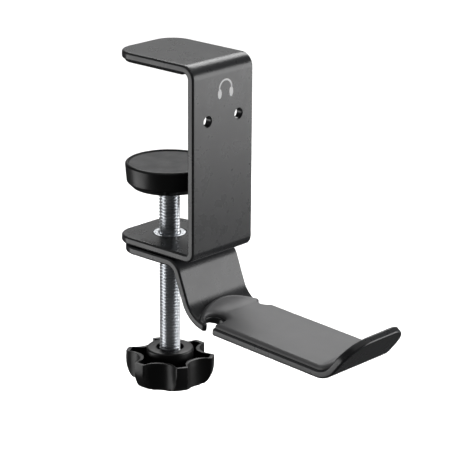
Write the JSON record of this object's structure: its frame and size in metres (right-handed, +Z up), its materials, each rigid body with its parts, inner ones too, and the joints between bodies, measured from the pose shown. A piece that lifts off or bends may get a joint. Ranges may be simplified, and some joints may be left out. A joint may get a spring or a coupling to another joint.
{
  "type": "headphone hook",
  "caption": "Clamp-on headphone hook: bent steel bracket with a padded jaw, a screw with star knob and swivel foot, and a swivelling padded hook arm.",
  "frame": {"origin": "middle of the upper jaw pad's lower face in X, on the clamp screw's axis, where the bracket rests on the desk top", "axes": "+Z up along the clamp screw, -Y towards the user along the hook arm at rest, X across the strip"},
  "size_m": [0.0346, 0.1201, 0.1313],
  "materials": {
    "coated_steel": "satin",
    "zinc_plate": "satin",
    "black_plastic": "matte",
    "jaw_pad_foam": "matte",
    "cradle_silicone": "satin",
    "foot_face_rubber": "matte",
    "black_nylon": "matte",
    "spring_steel": "satin"
  },
  "bodies": {
    "bracket": {"clamp_bracket": "coated_steel", "upper_jaw_pad": "jaw_pad_foam", "threaded_bush": "zinc_plate", "friction_washer": "black_nylon", "wave_washer": "spring_steel", "bush_retainer": "zinc_plate"},
    "hook": {"hook_arm": "coated_steel", "cradle_pad": "cradle_silicone"},
    "foot": {"foot_cup": "black_plastic", "foot_face": "foot_face_rubber", "foot_tip_washer": "zinc_plate"},
    "screw": {"clamp_screw": "zinc_plate", "star_knob": "black_plastic"}
  },
  "joints": [
    {"name": "hook_swivel", "type": "hinge", "parent": "bracket", "child": "hook", "pos_m": [0, 0, -0.0723], "axis": [0, 0, 1], "continuous": true},
    {"name": "screw_feed", "type": "slide", "parent": "bracket", "child": "foot", "axis": [0, 0, 1], "range_m": [-0.01625, 0.03625]},
    {"name": "screw_turn", "type": "hinge", "parent": "foot", "child": "screw", "pos_m": [0, 0, -0.05], "axis": [0, 0, 1], "range_deg": [-4681, 10441]}
  ],
  "couplings": [
    {"joint": "screw_turn", "follows": "screw_feed", "rad_per_m": 5026.5}
  ]
}
